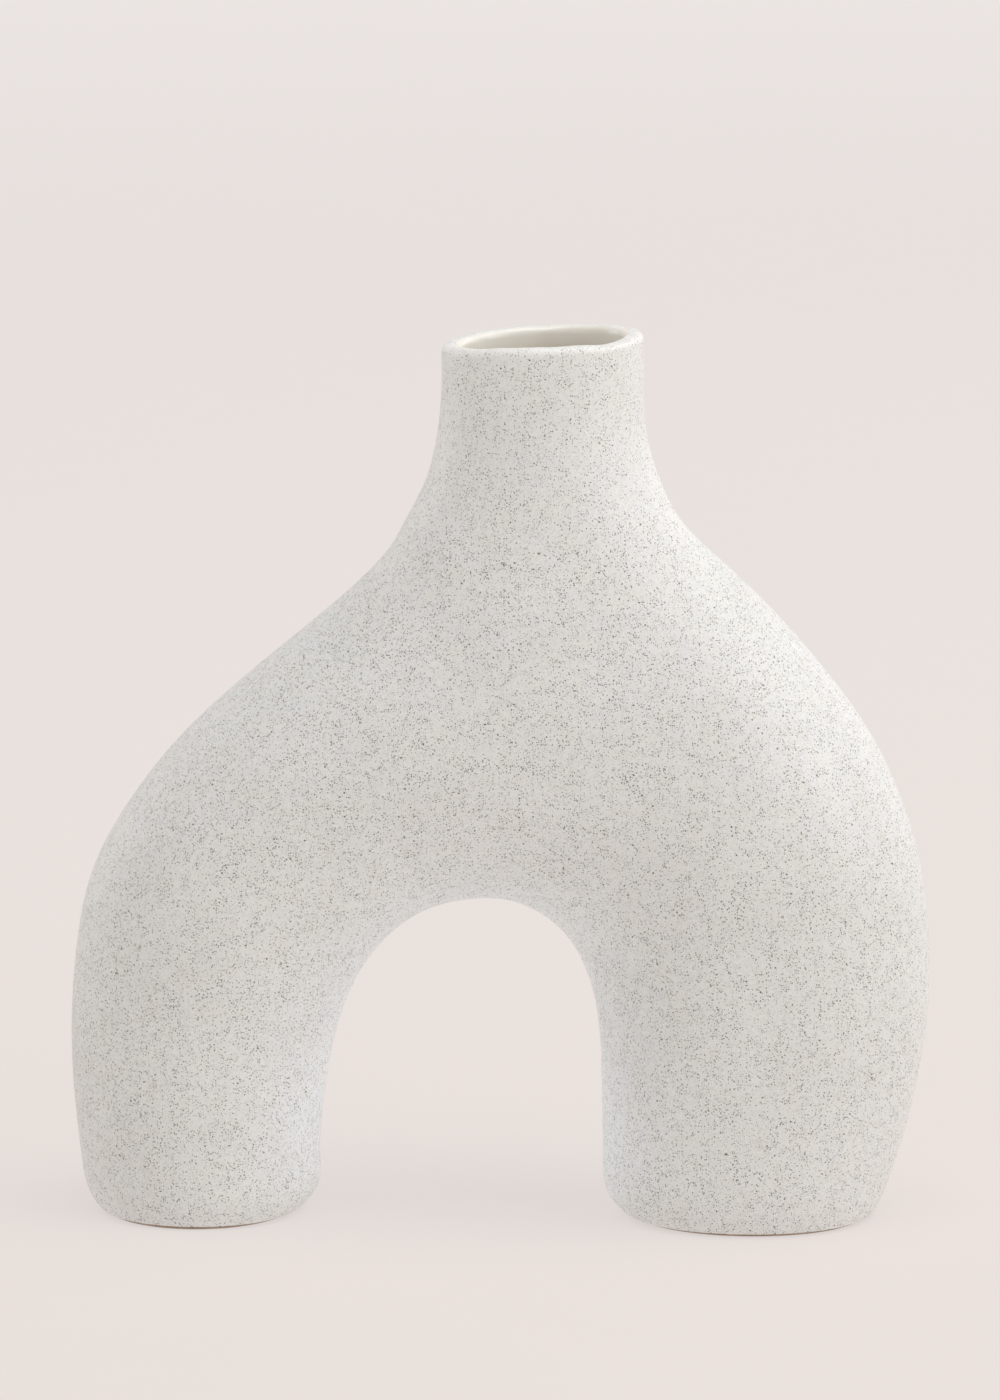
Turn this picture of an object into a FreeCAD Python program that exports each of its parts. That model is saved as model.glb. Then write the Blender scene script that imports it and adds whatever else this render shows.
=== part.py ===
import FreeCAD, Part
import math
import os

# Arch vase in glazed stoneware, in millimetres.
#
# Two hollow legs bend towards each other, meet over an open arch and rise into one round neck.
# A speckled glaze covers the outside and the lip, and a plain liner glaze covers the inside.
# The fired clay is one continuous hollow body, closed at both feet. It is divided into three nodes
# at a hidden ring across each leg, so that each node is a simple tube, open at one end.
# +X is the vase's right as seen from the front, -Y is the front and +Z is up.
# The origin is on the resting plane, under the middle of the vase.
#
# The outside is a smooth surface through hand-set sections. The sections make a coarse cage of
# quads, the cage is moved until its Catmull-Clark limit surface passes through every section
# point, and each stretch of that limit surface becomes one bicubic B-spline face. Every layer
# below it is the same surface moved inwards along its normals.

Vector = FreeCAD.Vector

# Layers, from the outside in
GLAZE = 0.45            # thickness of the outer glaze, and of the liner glaze
CLAY_WALL = 4.6         # thickness of the fired clay
FLOOR = 7.0             # top of the clay floor in each foot, above the resting plane
GLAZE_LINE = 1.0        # the outer glaze is wiped off below this height

OUTSIDE = 0.0
CLAY_OUTSIDE = GLAZE
CLAY_INSIDE = GLAZE + CLAY_WALL
INSIDE = CLAY_INSIDE + GLAZE

# Cross-sections are superellipses: 2 is a plain ellipse, more is squarer
NECK_FULLNESS = 2.2
LIP_FULLNESS = 2.6      # the lip's own section: 2 is half-round, more is flatter on top
LIP_RISE = 0.85         # the lip's height above its edges, as a share of half its thickness
BODY_FULLNESS = 2.15

# The neck, two shoulders and arch crown meet at one point on the front, and one on the back
MEETING = (10.0, 141.5)
MEETING_DEPTH = 39.0
LEFT_SHOULDER = (-33.2, 189.9)
RIGHT_SHOULDER = (62.0, 189.8)
ARCH_CROWN = (-3.0, 91.2)

# Sections as (left edge, ridge, right edge, half depth); each point is (x, z)
NECK = [
    ((-16.5, 248.9), (12.1, 250.4), (40.7, 251.9), 28.6),
    ((-16.7, 235.3), (12.1, 235.3), (40.9, 235.3), 28.6),
    ((-18.3, 222.3), (12.1, 218.0), (42.4, 222.3), 29.1),
    ((-21.8, 210.3), (11.7, 197.0), (46.2, 210.3), 31.0),
    ((-27.2, 199.7), (11.0, 171.5), (51.9, 199.7), 35.0),
]
LEFT_LEG = [
    ((-49.5, 174.1), (-17.0, 134.5), (-12.0, 90.4), 39.0),
    ((-71.8, 155.7), (-41.0, 123.5), (-22.0, 87.2), 38.5),
    ((-92.2, 136.5), (-60.0, 109.5), (-32.0, 80.0), 38.0),
    ((-108.3, 115.3), (-73.0, 93.5), (-40.0, 69.7), 37.5),
    ((-118.4, 93.8), (-81.5, 76.0), (-45.6, 56.8), 37.0),
    ((-122.5, 69.8), (-85.6, 56.5), (-49.2, 42.6), 36.5),
    ((-123.3, 46.8), (-87.0, 39.5), (-51.0, 30.8), 36.3),
    ((-122.4, 29.3), (-87.2, 25.5), (-51.8, 21.8), 36.2),
    ((-121.2, 17.8), (-86.8, 16.0), (-52.1, 14.5), 36.1),
]
RIGHT_LEG = [
    ((4.2, 90.4), (35.5, 134.5), (77.5, 175.0), 39.5),
    ((12.2, 87.0), (52.5, 122.5), (93.7, 156.5), 40.0),
    ((19.6, 80.5), (63.5, 107.5), (107.0, 137.5), 40.0),
    ((24.8, 71.1), (70.5, 91.0), (116.2, 116.8), 40.0),
    ((27.8, 59.8), (74.5, 74.5), (121.3, 95.6), 39.6),
    ((29.0, 46.8), (76.0, 57.5), (123.2, 73.7), 39.3),
    ((29.4, 34.8), (75.5, 41.5), (122.1, 53.3), 39.0),
    ((29.5, 24.1), (74.2, 28.0), (118.9, 33.8), 38.8),
    ((29.6, 15.5), (72.8, 16.5), (115.0, 18.8), 38.4),
]
# Each foot's outline as (left edge, right edge, half depth), at the clay floor's height and at the
# ground. The bottom corner is rounder on the inner side of each leg than on the outer side.
LEFT_FOOT = ((-119.4, -52.2, 35.7), (-112.8, -60.5, 32.4))
RIGHT_FOOT = ((30.6, 111.0, 37.4), (39.5, 105.0, 32.6))
FOOT_SPREAD_AT_GLAZE_LINE = 0.45    # how far the outline has opened from the ground to the floor

LEG_RING = 4            # the clay is divided at this section of each leg, counted from the top
FIT_ROUNDS = 120        # steps of moving the cage towards the sections
REFINEMENTS = 2         # each cage cell becomes 4 by 4
SPAN = 2 ** REFINEMENTS
RING_ROW = LEG_RING * SPAN
HALF_TURN = 4 * SPAN    # columns from the front ridge to the back ridge
LIP_SPANS = 10          # spline spans over the lip
GLAZE_CHANGE = 6        # the row of the lip, counted from outside, where the liner glaze takes over
LEGS = ("left_leg", "right_leg")


# ---------------------------------------------------------------- sections and cage

def section_points(left, ridge, right, depth, fullness):
    """Eight points of one section: front ridge, then round by left edge, back ridge and right edge."""
    corner = 0.5 ** (1.0 / fullness)

    def at(side, outward, y):
        x = ridge[0] + outward * (side[0] - ridge[0])
        z = ridge[1] + outward * (side[1] - ridge[1])
        return Vector(x, y * depth, z)

    return [at(left, 0, -1), at(left, corner, -corner), at(left, 1, 0), at(left, corner, corner),
            at(left, 0, 1), at(right, corner, corner), at(right, 1, 0), at(right, corner, -corner)]


def foot_sections(full, contact):
    """The three lowest sections of a leg: at the floor's height, at the glaze line and at the ground."""
    sections = []
    for z, spread in ((FLOOR, 1.0), (GLAZE_LINE, FOOT_SPREAD_AT_GLAZE_LINE), (0.0, 0.0)):
        left, right, depth = [low + (high - low) * spread for low, high in zip(contact, full)]
        sections.append(((left, z), ((left + right) / 2, z), (right, z), depth))
    return sections


def build_cage():
    """Section points, and each tube as rows of point numbers from top to bottom, closed in columns."""
    points = []

    def add(new_points):
        first = len(points)
        points.extend(new_points)
        return list(range(first, len(points)))

    def rings(sections, fullness):
        rows = []
        for section in sections:
            row = add(section_points(*section, fullness))
            rows.append(row + row[:1])
        return rows

    meeting = section_points(LEFT_SHOULDER, MEETING, RIGHT_SHOULDER, MEETING_DEPTH, BODY_FULLNESS)
    under = section_points(ARCH_CROWN, MEETING, ARCH_CROWN, MEETING_DEPTH, BODY_FULLNESS)
    front, back = add([meeting[0], meeting[4]])
    left = [front] + add(meeting[1:4]) + [back]
    right = [back] + add(meeting[5:8]) + [front]
    crown_from_front = [front] + add(under[1:4]) + [back]
    crown_from_back = crown_from_front[::-1]

    tubes = {
        "neck": rings(NECK, NECK_FULLNESS) + [left + right[1:]],
        "left_leg": [left + crown_from_back[1:]] + rings(
            LEFT_LEG + foot_sections(*LEFT_FOOT), BODY_FULLNESS),
        "right_leg": [crown_from_front + right[1:]] + rings(
            RIGHT_LEG + foot_sections(*RIGHT_FOOT), BODY_FULLNESS),
    }
    return points, tubes


# ---------------------------------------------------------------- Catmull-Clark surface

def cells(tubes):
    """Every quad of the mesh, as four point numbers in order."""
    for rows in tubes.values():
        for upper, lower in zip(rows, rows[1:]):
            for j in range(len(upper) - 1):
                yield upper[j], upper[j + 1], lower[j + 1], lower[j]


def neighbours(points, tubes):
    """For each point: how many quads share each of its edges, and the points across its quads."""
    edges = [{} for _ in points]
    across = [[] for _ in points]
    for cell in cells(tubes):
        for k, point in enumerate(cell):
            for other in (cell[k - 1], cell[(k + 1) % 4]):
                edges[point][other] = edges[point].get(other, 0) + 1
            across[point].append(cell[(k + 2) % 4])
    return edges, across


def total(vectors):
    result = Vector()
    for vector in vectors:
        result = result + vector
    return result


def smoothed(points, tubes, inner_weights, border_weight):
    """Moves each point to a weighted mean of itself and its neighbours."""
    edges, across = neighbours(points, tubes)
    result = []
    for i, point in enumerate(points):
        border = [j for j, quads in edges[i].items() if quads == 1]
        if border:
            mean = total(points[j] for j in border) / 2
            result.append(point * border_weight + mean * (1 - border_weight))
            continue
        count = len(edges[i])
        edge_weight, across_weight = inner_weights(count)
        own_weight = 1 - count * (edge_weight + across_weight)
        result.append(point * own_weight + total(points[j] for j in edges[i]) * edge_weight
                      + total(points[j] for j in across[i]) * across_weight)
    return result


def limit(points, tubes):
    """Where each point ends up after endless subdivision."""
    return smoothed(points, tubes, lambda n: (4.0 / (n * (n + 5)), 1.0 / (n * (n + 5))), 2.0 / 3)


def refine(points, tubes):
    """One Catmull-Clark step: each quad becomes four."""
    fine = smoothed(points, tubes, lambda n: (1.5 / n ** 2, 0.25 / n ** 2), 0.75)
    middles = {}
    centres_beside = {}
    for cell in cells(tubes):
        centre = total(points[i] for i in cell) / 4
        middles[frozenset(cell)] = len(fine)
        fine.append(centre)
        for k in range(4):
            centres_beside.setdefault(frozenset((cell[k - 1], cell[k])), []).append(centre)
    for edge, centres in centres_beside.items():
        ends = [points[i] for i in edge]
        middles[edge] = len(fine)
        if len(centres) == 2:
            fine.append(total(ends + centres) / 4)
        else:
            fine.append(total(ends) / 2)

    def between(*ids):
        return middles[frozenset(ids)]

    def refined_row(row):
        new = [row[0]]
        for a, b in zip(row, row[1:]):
            new += [between(a, b), b]
        return new

    def row_between(upper, lower):
        new = [between(upper[0], lower[0])]
        for j in range(len(upper) - 1):
            new.append(between(upper[j], upper[j + 1], lower[j + 1], lower[j]))
            new.append(between(upper[j + 1], lower[j + 1]))
        return new

    fine_tubes = {}
    for name, rows in tubes.items():
        fine_rows = [refined_row(rows[0])]
        for upper, lower in zip(rows, rows[1:]):
            fine_rows += [row_between(upper, lower), refined_row(lower)]
        fine_tubes[name] = fine_rows
    return fine, fine_tubes


def outer_surface():
    """Points and outward normals of the finished outside, with the tubes' rows of point numbers."""
    targets, tubes = build_cage()
    points = list(targets)
    for _ in range(FIT_ROUNDS):
        points = [p + t - now for p, t, now in zip(points, targets, limit(points, tubes))]
    for _ in range(REFINEMENTS):
        points, tubes = refine(points, tubes)
    points = limit(points, tubes)

    normals = [Vector() for _ in points]
    for a, b, c, d in cells(tubes):
        facing = (points[b] - points[d]).cross(points[c] - points[a])
        for i in (a, b, c, d):
            normals[i] = normals[i] + facing
    for i in tubes["neck"][0]:
        normals[i] = Vector(normals[i].x, normals[i].y, 0)
    for name in LEGS:
        for i in tubes[name][-1]:
            points[i] = Vector(points[i].x, points[i].y, 0)
    for normal in normals:
        normal.normalize()
    return points, normals, tubes


# ---------------------------------------------------------------- B-spline faces and solids

def spline_poles(points):
    """Poles of the C2 cubic spline through two, or at least four, evenly timed points."""
    last = len(points) - 1
    if last == 1:
        third = (points[1] - points[0]) / 3
        return [points[0], points[0] + third, points[1] - third, points[1]]

    def end_tangent(p):
        return (p[0] * -11 + p[1] * 18 - p[2] * 9 + p[3] * 2) / 6

    tangents = [end_tangent(points[:4])] + [None] * (last - 1) + [end_tangent(points[:-5:-1]) * -1]
    factors, sums = [0.0], [tangents[0]]
    for i in range(1, last):
        pivot = 4.0 - factors[-1]
        factors.append(1.0 / pivot)
        sums.append(((points[i + 1] - points[i - 1]) * 3 - sums[-1]) / pivot)
    for i in range(last - 1, 0, -1):
        tangents[i] = sums[i] - tangents[i + 1] * factors[i]

    after = [p + t / 3 for p, t in zip(points, tangents)]
    before = [p - t / 3 for p, t in zip(points, tangents)]
    inner = [after[i] * 2 - before[i + 1] for i in range(1, last)]
    return [points[0], after[0]] + inner + [before[last], points[last]]


def knots_and_multiplicities(point_count):
    knots = [float(k) for k in range(point_count)]
    return knots, [4] + [1] * (point_count - 2) + [4]


def patch(grid):
    """One bicubic face through rows of points."""
    rows = [spline_poles(row) for row in grid]
    columns = [spline_poles(list(column)) for column in zip(*rows)]
    poles = [list(row) for row in zip(*columns)]
    u_knots, u_multiplicities = knots_and_multiplicities(len(grid))
    v_knots, v_multiplicities = knots_and_multiplicities(len(grid[0]))
    surface = Part.BSplineSurface()
    surface.buildFromPolesMultsKnots(
        poles, u_multiplicities, v_multiplicities, u_knots, v_knots, False, False, 3, 3)
    return surface.toShape()


def curve(points):
    spline = Part.BSplineCurve()
    knots, multiplicities = knots_and_multiplicities(len(points))
    spline.buildFromPolesMultsKnots(spline_poles(points), multiplicities, knots, False, 3)
    return spline.toShape()


def halves(grid):
    """A closed grid cut at the front and back ridges."""
    return [[row[:HALF_TURN + 1] for row in grid], [row[HALF_TURN:] for row in grid]]


def tube_faces(grid):
    return [patch(half) for half in halves(grid)]


def disc(ring):
    """The flat face inside a level ring of points."""
    return Part.Face(Part.Wire([curve(half[0]) for half in halves([ring])]))


def solid(faces):
    shell = Part.Compound(faces)
    shell.sewShape()
    body = Part.Solid(Part.Shell(shell.Faces))
    if body.Volume < 0:
        body.reverse()
    return body


# ---------------------------------------------------------------- layers of the vase

def layer(surface, name, depth, first=0, last=None):
    """Rows of a tube moved inwards by depth, which may differ from row to row."""
    points, normals, tubes = surface
    rows = tubes[name][first:last]
    depth_of = depth if callable(depth) else lambda row: depth
    return [[points[i] - normals[i] * depth_of(first + k) for i in row] for k, row in enumerate(rows)]


def level(row, z):
    return [Vector(p.x, p.y, z) for p in row]


def squared(number):
    """A cosine or sine moved towards 1 or -1, which turns a circle into a squarer round."""
    return math.copysign(abs(number) ** (2.0 / LIP_FULLNESS), number)


def lip(outer_ring, inner_ring):
    """Rows of a lip with a flattened top, from the outer ring over to the inner ring at the same height."""
    rows = []
    for k in range(LIP_SPANS + 1):
        turn = math.pi * k / LIP_SPANS
        row = []
        for outer, inner in zip(outer_ring, inner_ring):
            outwards = (outer - inner) / 2
            upwards = Vector(0, 0, LIP_RISE * outwards.Length)
            row.append(inner + outwards * (1 + squared(math.cos(turn))) + upwards * squared(math.sin(turn)))
        rows.append(row)
    return rows


def leg_rows(surface, name):
    """Row numbers of a leg at the floor's height and at the glaze line."""
    last = len(surface[2][name]) - 1
    return last - 2 * SPAN, last - SPAN


def leg_inside(surface, name, depth, floor):
    """The inside of a leg down to its level floor."""
    floor_row, _ = leg_rows(surface, name)
    rows = layer(surface, name, depth, 0, floor_row + 1)
    return rows[:-1] + [level(rows[-1], floor)]


def neck_and_shoulders(surface):
    """The clay from the lip down to the ring across each leg."""
    outside, inside = layer(surface, "neck", CLAY_OUTSIDE), layer(surface, "neck", CLAY_INSIDE)
    over = lip(outside[0], inside[0])
    faces = tube_faces(outside) + tube_faces(inside)
    faces += tube_faces(over[:GLAZE_CHANGE + 1]) + tube_faces(over[GLAZE_CHANGE:])
    for name in LEGS:
        outside = layer(surface, name, CLAY_OUTSIDE, 0, RING_ROW + 1)
        inside = layer(surface, name, CLAY_INSIDE, 0, RING_ROW + 1)
        faces += tube_faces(outside) + tube_faces(inside) + tube_faces([outside[-1], inside[-1]])
    return solid(faces)


def leg(surface, name):
    """The clay below the ring. Under the glaze line it comes out to the full size and is left bare."""
    _, glaze_row = leg_rows(surface, name)
    last = glaze_row + SPAN
    outside = layer(surface, name, lambda row: CLAY_OUTSIDE * min(1.0, (last - row) / SPAN), RING_ROW)
    inside = leg_inside(surface, name, CLAY_INSIDE, FLOOR)[RING_ROW:]
    return solid(tube_faces(outside) + tube_faces(inside) + tube_faces([outside[0], inside[0]])
                 + [disc(outside[-1]), disc(inside[-1])])


def outer_glaze(surface):
    faces = []
    for name in LEGS:
        _, glaze_row = leg_rows(surface, name)
        outside = layer(surface, name, OUTSIDE, 0, glaze_row + 1)
        underneath = layer(surface, name, CLAY_OUTSIDE, 0, glaze_row + 1)
        faces += tube_faces(outside) + tube_faces(underneath) + tube_faces([outside[-1], underneath[-1]])
    outside, underneath, clay_inside, inside = [
        layer(surface, "neck", depth) for depth in (OUTSIDE, CLAY_OUTSIDE, CLAY_INSIDE, INSIDE)]
    over, under = lip(outside[0], inside[0]), lip(underneath[0], clay_inside[0])
    faces += tube_faces(outside) + tube_faces(underneath)
    faces += tube_faces(over[:GLAZE_CHANGE + 1]) + tube_faces(under[:GLAZE_CHANGE + 1])
    faces += tube_faces([over[GLAZE_CHANGE], under[GLAZE_CHANGE]])
    return solid(faces)


def liner_glaze(surface):
    outside, clay_outside, against_clay, inside = [
        layer(surface, "neck", depth) for depth in (OUTSIDE, CLAY_OUTSIDE, CLAY_INSIDE, INSIDE)]
    over, under = lip(outside[0], inside[0]), lip(clay_outside[0], against_clay[0])
    faces = tube_faces(against_clay) + tube_faces(inside)
    faces += tube_faces(over[GLAZE_CHANGE:]) + tube_faces(under[GLAZE_CHANGE:])
    faces += tube_faces([over[GLAZE_CHANGE], under[GLAZE_CHANGE]])
    for name in LEGS:
        for depth, floor in ((CLAY_INSIDE, FLOOR), (INSIDE, FLOOR + GLAZE)):
            rows = leg_inside(surface, name, depth, floor)
            faces += tube_faces(rows) + [disc(rows[-1])]
    return solid(faces)


def main():
    surface = outer_surface()
    nodes = {
        "neck_and_shoulders": neck_and_shoulders(surface),
        "left_leg": leg(surface, "left_leg"),
        "right_leg": leg(surface, "right_leg"),
        "speckled_glaze": outer_glaze(surface),
        "liner_glaze": liner_glaze(surface),
    }
    os.makedirs("parts", exist_ok=True)
    for name, shape in nodes.items():
        box = shape.BoundBox
        print(f"{name}: valid {shape.isValid()}, closed {shape.isClosed()}, {len(shape.Faces)} faces, "
              f"{shape.Volume / 1000:.1f} cm3, x {box.XMin:.1f} to {box.XMax:.1f}, "
              f"y {box.YMin:.1f} to {box.YMax:.1f}, z {box.ZMin:.2f} to {box.ZMax:.2f}")
        shape.exportStep(f"parts/{name}.step")


main()
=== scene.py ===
import math

import bmesh
import bpy
from mathutils import Matrix, Vector, noise


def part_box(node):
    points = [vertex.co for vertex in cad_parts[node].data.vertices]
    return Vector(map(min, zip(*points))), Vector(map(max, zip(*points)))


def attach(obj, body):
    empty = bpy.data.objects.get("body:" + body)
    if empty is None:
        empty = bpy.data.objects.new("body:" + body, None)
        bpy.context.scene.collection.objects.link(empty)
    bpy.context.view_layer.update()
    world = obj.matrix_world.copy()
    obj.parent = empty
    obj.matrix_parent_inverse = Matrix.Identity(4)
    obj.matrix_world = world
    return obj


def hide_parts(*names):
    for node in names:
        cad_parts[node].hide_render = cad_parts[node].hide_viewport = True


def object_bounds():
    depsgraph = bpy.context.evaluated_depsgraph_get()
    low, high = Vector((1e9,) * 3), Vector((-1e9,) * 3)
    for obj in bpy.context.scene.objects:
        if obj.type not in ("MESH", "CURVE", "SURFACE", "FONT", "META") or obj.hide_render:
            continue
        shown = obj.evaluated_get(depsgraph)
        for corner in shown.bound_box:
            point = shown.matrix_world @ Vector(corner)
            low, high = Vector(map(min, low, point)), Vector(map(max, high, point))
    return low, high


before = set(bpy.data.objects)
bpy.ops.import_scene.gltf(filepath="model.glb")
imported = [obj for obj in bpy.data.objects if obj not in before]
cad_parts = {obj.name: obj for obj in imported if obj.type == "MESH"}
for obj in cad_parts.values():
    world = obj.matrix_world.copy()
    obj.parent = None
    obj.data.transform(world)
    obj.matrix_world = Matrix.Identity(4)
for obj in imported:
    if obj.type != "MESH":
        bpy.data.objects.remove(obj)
cad_low, cad_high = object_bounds()

# Looks for the arch vase: one smooth, slightly uneven mesh for each coat and each stretch of clay,
# procedural glazes, a pale floor and soft studio light. Everything is in metres, and colours are linear.

MM = 0.001

# Hand-made unevenness: how far the surface wanders and over what distance, fading out at the feet
WANDERS = ((0.33 * MM, 32 * MM), (0.06 * MM, 9 * MM))
WANDER_FADE = 35 * MM
LIP_WAVE_DEPTH = 14 * MM        # how far down the neck the lip's unevenness is felt
LIP_RIPPLE = 0.06 * MM
LIP_RIPPLES = ((8, 1.0), (13, 0.0))     # ripples in one turn, and where each starts, in radians
LIP_SLOPE = 3.0 / 57.2          # the lip rises to the right
RIM_DEPTH = 7 * MM              # the top of the neck, deep enough to hold the whole sloping lip
SHARP_EDGE = math.radians(40)   # edges sharper than this aren't smoothed
WELD_DISTANCE = 0.002 * MM      # CAD faces meet closer than this

# Where the lip strays from a flat ring: the direction, counted anticlockwise from the right as seen
# from above, how many degrees either side feel it, and how many millimetres the lip drops there
LIP_WAVES = ((-100, 65, -0.6), (-40, 30, 0.3), (165, 45, 0.4))

# Camera: far away with a long lens, a little above the vase and to its right
CAMERA_DISTANCE = 2.5
CAMERA_AZIMUTH = math.radians(3.0)
CAMERA_ELEVATION = math.radians(10.2)
CAMERA_LENS = 225.4
CAMERA_SENSOR = 36.0
AIM_HEIGHT = 148.3 * MM         # the camera aims this far above the ground

CAMERA_REACH = 50

# Colours, each pair being the two shades that a surface drifts between
BACKGROUND = (0.8148, 0.7529, 0.7230)
GLAZE = ((0.790, 0.790, 0.772), (0.825, 0.828, 0.813))
# The lip's colour is a painted highlight, whiter than the body where the lip's top catches the light
GLAZE_LIP_HIGHLIGHT = (0.880, 0.876, 0.852)
GLAZE_CLOUDS = ((1.005, 1.001, 0.988), (0.995, 1.000, 1.009))   # warm and cool, as shares of the glaze
GLAZE_GRAIN = ((0.962, 0.962, 0.958), (1.038, 1.038, 1.042))    # dark and light, as shares of the glaze
IRON = ((0.045, 0.048, 0.046), (0.110, 0.090, 0.066))
LINER = ((0.905, 0.875, 0.795), (0.945, 0.925, 0.865))
LINER_PAINTED_SHADE = ((0.890, 0.830, 0.710), (0.760, 0.635, 0.470))     # painted shade inside the neck: lighter on the left wall, darker on the right
CLAY = ((0.330, 0.240, 0.165), (0.430, 0.330, 0.240))
CLAY_GRIT = (0.120, 0.090, 0.070)

# Iron specks: how far apart, radius, softness of the edge, share of places that have one, darkness
FINE_SPECKS = (0.56 * MM, 0.168 * MM, 0.03 * MM, 0.63, 1.0)
COARSE_SPECKS = (1.4 * MM, 0.22 * MM, 0.05 * MM, 0.42, 1.0)
FAINT_SPECKS = (0.43 * MM, 0.135 * MM, 0.05 * MM, 0.65, 0.40)
SPECKS_UP_THE_NECK = 0.80       # share of the specks that is left on the neck
SPECKS_IN_LIP_HIGHLIGHT = 0.75            # how dark they are in the painted highlight on the lip, against the body


# ---------------------------------------------------------------- places, measured from the CAD parts

middle = (cad_low + cad_high) / 2
rim = [v.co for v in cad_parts["speckled_glaze"].data.vertices if v.co.z > cad_high.z - RIM_DEPTH]
neck_middle = Vector([(min(v[axis] for v in rim) + max(v[axis] for v in rim)) / 2 for axis in range(3)])
arch_middle = Vector(((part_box("left_leg")[1].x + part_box("right_leg")[0].x) / 2, middle.y, cad_low.z))
# The lip's highest height where x is 0. Along x it rises by LIP_SLOPE.
lip_height = cad_high.z - LIP_SLOPE * max(rim, key=lambda place: place.z).x


# ---------------------------------------------------------------- node helpers

class Nodes:
    """A material's node tree, with short calls that add a node and link it."""

    def __init__(self, name):
        self.material = bpy.data.materials.new(name)
        self.material.use_nodes = True
        self.tree = self.material.node_tree
        self.tree.nodes.clear()
        self.surface = self.add("ShaderNodeOutputMaterial")
        self.shader = self.add("ShaderNodeBsdfPrincipled")
        self.link(self.shader.outputs[0], self.surface.inputs["Surface"])
        self.place = self.add("ShaderNodeTexCoord").outputs["Object"]

    def add(self, kind, **settings):
        node = self.tree.nodes.new(kind)
        for key, value in settings.items():
            setattr(node, key, value)
        return node

    def link(self, source, target):
        self.tree.links.new(source, target)

    def put(self, socket, value):
        """Links a socket, or sets it when the value is a plain number or colour."""
        if isinstance(value, bpy.types.NodeSocket):
            self.link(value, socket)
        else:
            socket.default_value = value

    def noise(self, size, detail=2.0, roughness=0.5, place=None):
        """Noise from 0 to 1 whose features are about this size, in metres."""
        node = self.add("ShaderNodeTexNoise")
        self.link(place or self.place, node.inputs["Vector"])
        node.inputs["Scale"].default_value = 1 / size
        node.inputs["Detail"].default_value = detail
        node.inputs["Roughness"].default_value = roughness
        return node.outputs["Fac"]

    def cells(self, size, place=None):
        """Distance to the nearest of scattered points, in metres, and a random colour for each point."""
        node = self.add("ShaderNodeTexVoronoi")
        self.link(place or self.place, node.inputs["Vector"])
        node.inputs["Scale"].default_value = 1 / size
        return self.math("MULTIPLY", node.outputs["Distance"], size), node.outputs["Color"]

    def warped(self, size, amount):
        """The place pushed about by this many metres, over features of about this size."""
        push = self.add("ShaderNodeTexNoise")
        self.link(self.place, push.inputs["Vector"])
        push.inputs["Scale"].default_value = 1 / size
        push.inputs["Detail"].default_value = 1.0
        node = self.add("ShaderNodeVectorMath", operation="MULTIPLY_ADD")
        self.link(push.outputs["Color"], node.inputs[0])
        node.inputs[1].default_value = (2 * amount,) * 3
        self.link(self.place, node.inputs[2])
        return node.outputs[0]

    def math(self, operation, a, b=0.0, clamp=False):
        node = self.add("ShaderNodeMath", operation=operation, use_clamp=clamp)
        self.put(node.inputs[0], a)
        self.put(node.inputs[1], b)
        return node.outputs[0]

    def ramp(self, value, low, high, to_low=0.0, to_high=1.0):
        """Maps low..high smoothly onto to_low..to_high."""
        node = self.add("ShaderNodeMapRange", interpolation_type="SMOOTHSTEP")
        for key, number in (("Value", value), ("From Min", low), ("From Max", high),
                            ("To Min", to_low), ("To Max", to_high)):
            self.put(node.inputs[key], number)
        return node.outputs[0]

    def drift(self, size, detail=2.0, to_low=0.0, to_high=1.0):
        """Noise stretched so that most of it runs from to_low to to_high."""
        return self.ramp(self.noise(size, detail), 0.3, 0.7, to_low, to_high)

    def mix(self, share, a, b):
        node = self.add("ShaderNodeMix", data_type="RGBA")
        self.put(node.inputs["Factor"], share)
        for key, colour in (("A", a), ("B", b)):
            socket = [s for s in node.inputs if s.name == key and s.type == "RGBA"][0]
            self.put(socket, colour if isinstance(colour, bpy.types.NodeSocket) else (*colour, 1))
        return [s for s in node.outputs if s.type == "RGBA"][0]

    def tint(self, colour, factors):
        """The colour times these factors, channel by channel."""
        node = self.add("ShaderNodeVectorMath", operation="MULTIPLY")
        self.link(colour, node.inputs[0])
        self.put(node.inputs[1], factors)
        return node.outputs[0]

    def parts(self, colour):
        node = self.add("ShaderNodeSeparateColor")
        self.link(colour, node.inputs[0])
        return node.outputs

    def axes(self):
        """The place's X, Y and Z, by name."""
        node = self.add("ShaderNodeSeparateXYZ")
        self.link(self.place, node.inputs[0])
        return node.outputs

    def bump(self, height, metres, normal=None):
        """Bump whose height output of 1 stands this many metres proud."""
        node = self.add("ShaderNodeBump")
        node.inputs["Strength"].default_value = 1.0
        node.inputs["Distance"].default_value = metres
        self.link(height, node.inputs["Height"])
        if normal:
            self.link(normal, node.inputs["Normal"])
        return node.outputs[0]


# ---------------------------------------------------------------- materials

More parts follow.
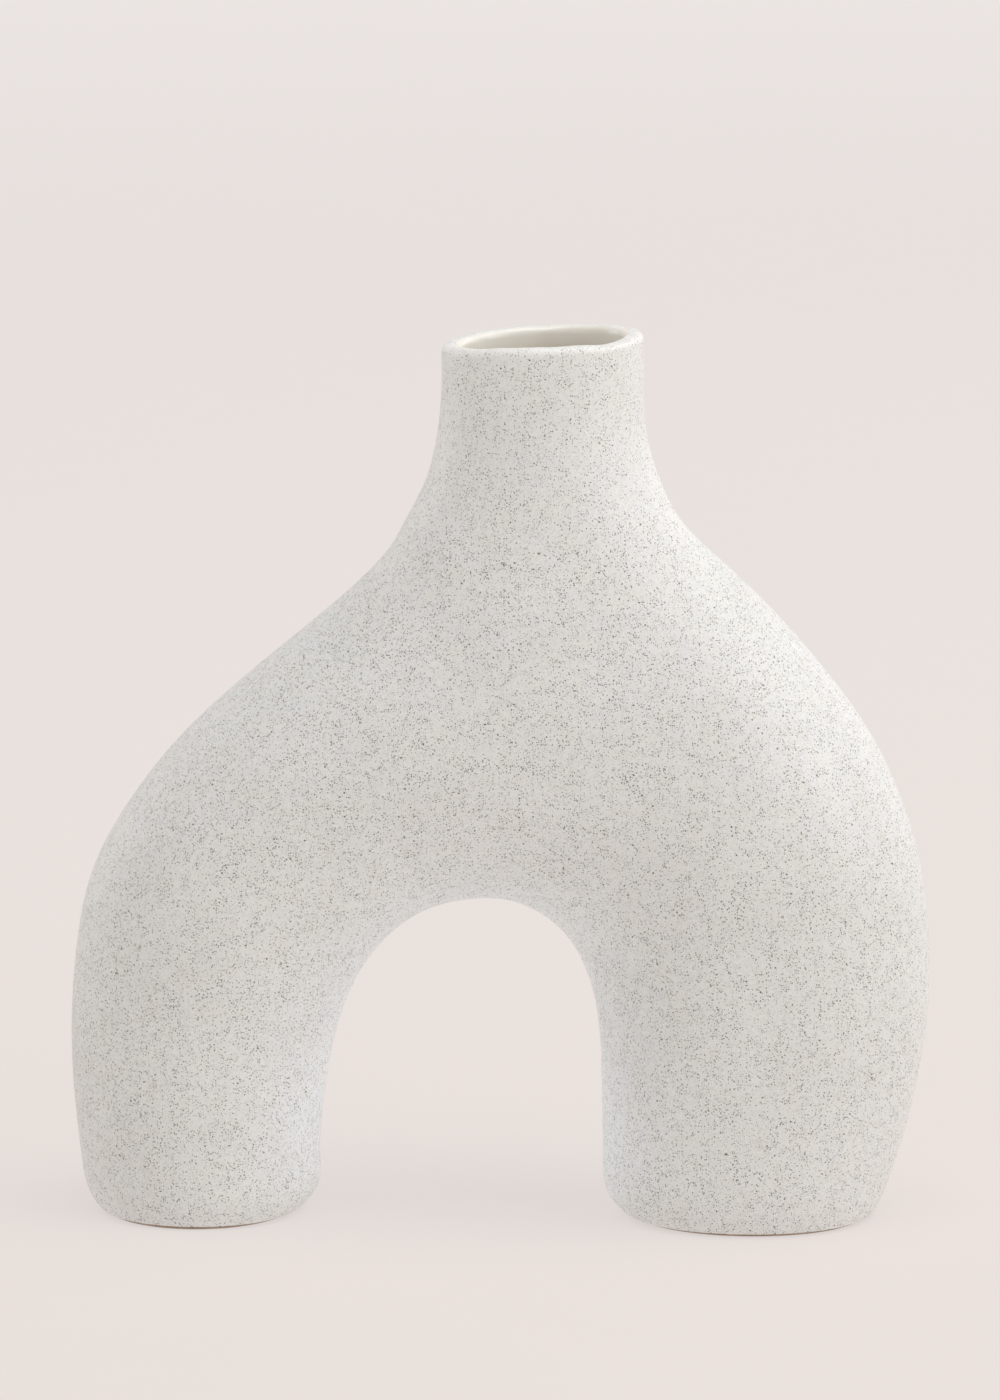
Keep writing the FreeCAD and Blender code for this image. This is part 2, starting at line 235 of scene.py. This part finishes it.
def speckled_glaze():
    """Satin off-white glaze with dense fine iron specks, gathered in loose clusters."""
    n = Nodes("speckled_glaze")
    crowding = n.noise(3.2 * MM, detail=3.0, roughness=0.65)
    ragged = n.warped(0.45 * MM, 0.11 * MM)
    axes = n.axes()
    slope = n.math("MULTIPLY", axes["X"], LIP_SLOPE)
    height = n.math("SUBTRACT", axes["Z"], slope)
    on_body = n.ramp(height, lip_height - 60 * MM, lip_height - 15 * MM, 1.0, SPECKS_UP_THE_NECK)

    def specks(size, radius, soft, share, strength):
        """Dark dots: size is their spacing and share how many of the points carry one."""
        distance, random = n.cells(size, ragged)
        amount, tone, hue = n.parts(random)[:3]
        wanted = n.math("MULTIPLY", n.ramp(crowding, 0.38, 0.62, share * 0.45, share * 1.5), on_body)
        present = n.math("LESS_THAN", amount, wanted)
        reach = n.ramp(tone, 0.0, 1.0, radius * 0.7, radius * 1.25)
        dot = n.ramp(n.math("SUBTRACT", distance, reach), -soft, soft, 1.0, 0.0)
        shade = n.ramp(hue, 0.0, 1.0, strength * 0.5, strength)
        return n.math("MULTIPLY", n.math("MULTIPLY", dot, present), shade), hue

    fine, fine_hue = specks(*FINE_SPECKS)
    coarse, _ = specks(*COARSE_SPECKS)
    faint, _ = specks(*FAINT_SPECKS)
    dots = n.math("MAXIMUM", n.math("MAXIMUM", fine, coarse), faint)

    # Painted highlight on the lip's top: the glaze is whiter there, and the specks are paler
    lip_highlight = n.ramp(height, lip_height - 2.6 * MM, lip_height - 0.9 * MM)
    dots = n.math("MULTIPLY", dots, n.ramp(lip_highlight, 0.0, 1.0, 1.0, SPECKS_IN_LIP_HIGHLIGHT))

    body = n.mix(n.drift(38 * MM, 3.0), *GLAZE)
    cloud = n.mix(n.ramp(n.noise(5.5 * MM, 2.0), 0.35, 0.65), *GLAZE_CLOUDS)
    grain = n.mix(n.drift(0.8 * MM, 1.0), *GLAZE_GRAIN)
    body = n.tint(n.tint(body, cloud), grain)
    glaze = n.mix(lip_highlight, body, GLAZE_LIP_HIGHLIGHT)
    iron = n.mix(fine_hue, *IRON)
    n.put(n.shader.inputs["Base Color"], n.mix(dots, glaze, iron))
    n.put(n.shader.inputs["Roughness"], n.drift(14 * MM, 3.0, 0.40, 0.50))
    n.shader.inputs["IOR"].default_value = 1.5
    skin = n.bump(n.noise(1.6 * MM, 2.0), 0.035 * MM)
    n.put(n.shader.inputs["Normal"], n.bump(dots, -0.012 * MM, skin))
    return n.material


def liner_glaze():
    """Plain cream gloss, pooled very slightly unevenly, with painted shade: darker and browner below the
    lip, most on the right.
    """
    n = Nodes("liner_glaze")
    pooling = n.drift(16 * MM, 3.0)
    cream = n.mix(pooling, *LINER)
    axes = n.axes()
    # Painted shade inside the neck: cream near the lip, darker and browner further down, and darker on the
    # right wall than on the left
    unshaded_near_lip = n.ramp(axes["Z"], lip_height - 13 * MM, lip_height - 2 * MM)
    darker_to_right = n.ramp(axes["X"], neck_middle.x - 16 * MM, neck_middle.x + 4 * MM)
    painted_shade = n.mix(darker_to_right, *LINER_PAINTED_SHADE)
    n.put(n.shader.inputs["Base Color"], n.mix(unshaded_near_lip, painted_shade, cream))
    n.put(n.shader.inputs["Roughness"], n.drift(7 * MM, 2.0, 0.10, 0.20))
    n.shader.inputs["IOR"].default_value = 1.52
    n.put(n.shader.inputs["Normal"], n.bump(n.noise(6 * MM, 2.0), 0.05 * MM))
    return n.material


def bare_stoneware():
    """Fired clay with no glaze: warm brown, dry and slightly gritty."""
    n = Nodes("bare_stoneware")
    grit, random = n.cells(0.8 * MM)
    body = n.mix(n.drift(5 * MM, 4.0), *CLAY)
    grains = n.ramp(grit, 0.10 * MM, 0.22 * MM, 0.6, 0.0)
    n.put(n.shader.inputs["Base Color"], n.mix(grains, body, CLAY_GRIT))
    n.put(n.shader.inputs["Roughness"], n.ramp(n.parts(random)[0], 0.0, 1.0, 0.78, 0.92))
    n.put(n.shader.inputs["Normal"], n.bump(n.noise(0.7 * MM, 3.0), 0.06 * MM))
    return n.material


def floor_material():
    """Pale matt studio floor that glows a little, so that its shadows stay faint."""
    n = Nodes("pale_floor")
    paper = n.mix(n.noise(60 * MM, 2.0), BACKGROUND, tuple(c * 0.995 for c in BACKGROUND))
    warm = n.tint(paper, FLOOR_WARM)
    n.put(n.shader.inputs["Base Color"], n.mix(FLOOR_DIFFUSE, (0.0, 0.0, 0.0), warm))
    n.shader.inputs["Roughness"].default_value = 1.0
    n.shader.inputs["Specular IOR Level"].default_value = 0.0
    n.put(n.shader.inputs["Emission Color"], n.tint(paper, FLOOR_COOL))
    behind = n.math("MINIMUM", n.math("MAXIMUM", n.axes()["Y"], 0.0), GLOW_RISE_END)
    rise = n.math("MULTIPLY", behind, FLOOR_GLOW * FLOOR_GLOW_RISE)
    n.put(n.shader.inputs["Emission Strength"], n.math("ADD", rise, FLOOR_GLOW))
    return n.material


# ---------------------------------------------------------------- meshes

def link_object(name, data):
    thing = bpy.data.objects.new(name, data)
    bpy.context.scene.collection.objects.link(thing)
    return thing


def wander(place):
    """A slow drift of the surface, nothing at the feet so that they stay flat on the ground."""
    drift = sum((noise.noise_vector(place / length) * amount for amount, length in WANDERS), Vector())
    settled = min(1.0, place.z / WANDER_FADE)
    return drift * settled * settled


def lip_dip(place):
    """How far the lip drops at this point, round the middle of the neck."""
    below = lip_height - (place.z - LIP_SLOPE * place.x)
    share = max(0.0, 1 - below / LIP_WAVE_DEPTH)
    turn = math.atan2(place.y - neck_middle.y, place.x - neck_middle.x)
    dip = LIP_RIPPLE * sum(math.sin(count * turn + start) for count, start in LIP_RIPPLES)
    for towards, reach, drop in LIP_WAVES:
        apart = abs(math.remainder(turn - math.radians(towards), 2 * math.pi)) / math.radians(reach)
        if apart < 1:
            dip += drop * MM * (0.5 + 0.5 * math.cos(math.pi * apart))
    return dip * share * share


def make_piece(name, node, material):
    """A smooth, slightly uneven copy of a CAD node, which stands for that node."""
    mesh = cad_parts[node].data.copy()
    mesh.name = name
    piece = link_object(name, mesh)

    shape = bmesh.new()
    shape.from_mesh(mesh)
    bmesh.ops.remove_doubles(shape, verts=shape.verts, dist=WELD_DISTANCE)
    for vertex in shape.verts:
        place = vertex.co.copy()
        vertex.co += wander(place)
        vertex.co.z -= lip_dip(place)
    for edge in shape.edges:
        edge.smooth = len(edge.link_faces) == 2 and edge.calc_face_angle(0.0) < SHARP_EDGE
    for face in shape.faces:
        face.smooth = True
    shape.to_mesh(mesh)
    shape.free()

    mesh.materials.clear()
    mesh.materials.append(material)
    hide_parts(node)
    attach(piece, "root")
    return piece


def keep_inside(pieces, low, high):
    """Shrinks all the pieces together along each axis, about the middle of the base, to fit the CAD box."""
    base = Vector(((low.x + high.x) / 2, (low.y + high.y) / 2, low.z))
    places = [vertex.co for piece in pieces for vertex in piece.data.vertices]
    shares = []
    for axis in range(3):
        reach = max(abs(place[axis] - base[axis]) for place in places)
        shares.append(min(1.0, (high[axis] - base[axis]) / reach))
    shrink = Matrix.Translation(base) @ Matrix.Diagonal((*shares, 1.0)) @ Matrix.Translation(-base)
    for piece in pieces:
        piece.data.transform(shrink)


# ---------------------------------------------------------------- stage, light and camera

FLOOR_GLOW = 0.766              # how much of the floor's brightness is its own
FLOOR_GLOW_RISE = 0.060         # how much brighter that gets with each metre behind the vase
GLOW_RISE_END = 4.0
FLOOR_DIFFUSE = 0.25            # how much of the light that falls on it comes back
# Light that comes back is a little warm and the glow is a little cool. Together they leave the lit floor
# neutral and its shadows cool.
FLOOR_WARM = (1.12, 1.01, 0.86)
FLOOR_COOL = (0.955, 0.991, 1.033)
FLOOR_RADIUS = 8.0
FLOOR_MIDDLE = 1.0              # radius of the flat face in the middle
FLOOR_SIDES = 64
WALL_LOW = 1.4                  # the floor's upturned edge: its height in front and at the sides,
WALL_HIGH = 6.0                 # and at the back
BEND_SPANS = 12
WORLD_STRENGTH = 0.41
WORLD_COLOUR = (0.775, 0.758, 0.735)

# Big soft boxes 2 m away: name, azimuth, elevation, watts
SOFT_BOX_DISTANCE = 2.0
SOFT_BOX_WIDTH = 1.1
SOFT_BOX_HEIGHT = 1.3
SOFT_BOXES = [
    ("key_right", 62, 22, 9.8),
    ("high_right", 95, 48, 8.5),
    ("back_right", 140, 18, 3.2),
    ("front_left", -45, 18, 3.5),
    ("side_left", -80, 18, 0.4),
    ("back_left", -115, 18, 3.7),
    ("front_high", 15, 50, 1.5),
    ("overhead", 20, 82, 13.0),
]
# Cool light coming back up through the arch, from a strip of table between the feet
TABLE_BOUNCE_SIZE = (0.045, 0.12)
TABLE_BOUNCE_HEIGHT = 0.5 * MM
TABLE_BOUNCE_WATTS = 0.013
TABLE_BOUNCE_COLOUR = (0.74, 0.94, 1.14)


def direction(azimuth, elevation):
    """Unit vector from the vase towards a point seen at this azimuth and elevation, in radians."""
    flat = math.cos(elevation)
    return Vector((math.sin(azimuth) * flat, -math.cos(azimuth) * flat, math.sin(elevation)))


def aim(thing, place, target):
    thing.location = place
    thing.rotation_euler = (target - place).to_track_quat("-Z", "Y").to_euler()


def add_lamp(name, width, height, watts, place, target):
    """A rectangular soft light that the camera doesn't see."""
    lamp = bpy.data.lights.new(name, "AREA")
    lamp.shape = "RECTANGLE"
    lamp.size, lamp.size_y = width, height
    lamp.energy = watts
    light = link_object(name, lamp)
    aim(light, place, target)
    light.visible_camera = False
    return light


def add_lights(target):
    for name, azimuth, elevation, watts in SOFT_BOXES:
        towards = direction(math.radians(azimuth), math.radians(elevation))
        add_lamp(name, SOFT_BOX_WIDTH, SOFT_BOX_HEIGHT, watts, target + towards * SOFT_BOX_DISTANCE, target)

    up = Vector((0, 0, 1))
    bounce = add_lamp("table_bounce", *TABLE_BOUNCE_SIZE, TABLE_BOUNCE_WATTS,
                      arch_middle + up * TABLE_BOUNCE_HEIGHT, arch_middle + up)
    bounce.data.color = TABLE_BOUNCE_COLOUR
    bounce.visible_glossy = False


def add_world():
    world = bpy.data.worlds.new("studio")
    world.use_nodes = True
    background = world.node_tree.nodes["Background"]
    background.inputs["Color"].default_value = (*WORLD_COLOUR, 1)
    background.inputs["Strength"].default_value = WORLD_STRENGTH
    bpy.context.scene.world = world


def add_floor():
    """One wide round sheet, level with the vase's feet, that curves up all round and highest at the back."""
    shape = bmesh.new()
    spokes = []
    for i in range(FLOOR_SIDES):
        turn = 2 * math.pi * i / FLOOR_SIDES
        outwards = Vector((math.sin(turn), math.cos(turn), 0))
        wall = WALL_LOW + (WALL_HIGH - WALL_LOW) * max(0.0, outwards.y)
        bend = wall / 2
        outline = [(FLOOR_MIDDLE, 0.0)]
        for k in range(BEND_SPANS + 1):
            rise = math.pi / 2 * k / BEND_SPANS
            outline.append((FLOOR_RADIUS - bend + bend * math.sin(rise), bend * (1 - math.cos(rise))))
        outline.append((FLOOR_RADIUS, wall))
        spokes.append([shape.verts.new(outwards * reach + Vector((0, 0, z))) for reach, z in outline])
    shape.faces.new([spoke[0] for spoke in spokes])
    for one, other in zip(spokes, spokes[1:] + spokes[:1]):
        for k in range(len(one) - 1):
            shape.faces.new((one[k], one[k + 1], other[k + 1], other[k])).smooth = True
    mesh = bpy.data.meshes.new("floor")
    shape.to_mesh(mesh)
    shape.free()
    mesh.materials.append(floor_material())
    link_object("floor", mesh)


def add_camera(target):
    data = bpy.data.cameras.new("camera")
    data.sensor_width = CAMERA_SENSOR
    data.lens = CAMERA_LENS
    data.clip_end = CAMERA_REACH
    camera = link_object("camera", data)
    aim(camera, target + direction(CAMERA_AZIMUTH, CAMERA_ELEVATION) * CAMERA_DISTANCE, target)
    bpy.context.scene.camera = camera


# ---------------------------------------------------------------- the scene

clay = bare_stoneware()
pieces = [
    make_piece("glaze_coat", "speckled_glaze", speckled_glaze()),
    make_piece("glaze_lining", "liner_glaze", liner_glaze()),
    make_piece("clay_neck_and_shoulders", "neck_and_shoulders", clay),
    make_piece("clay_left_leg", "left_leg", clay),
    make_piece("clay_right_leg", "right_leg", clay),
]
keep_inside(pieces, cad_low, cad_high)

add_world()
add_floor()
add_lights(middle)
add_camera(Vector((0, 0, cad_low.z + AIM_HEIGHT)))
bpy.context.scene.view_settings.view_transform = "Standard"

bpy.context.view_layer.update()
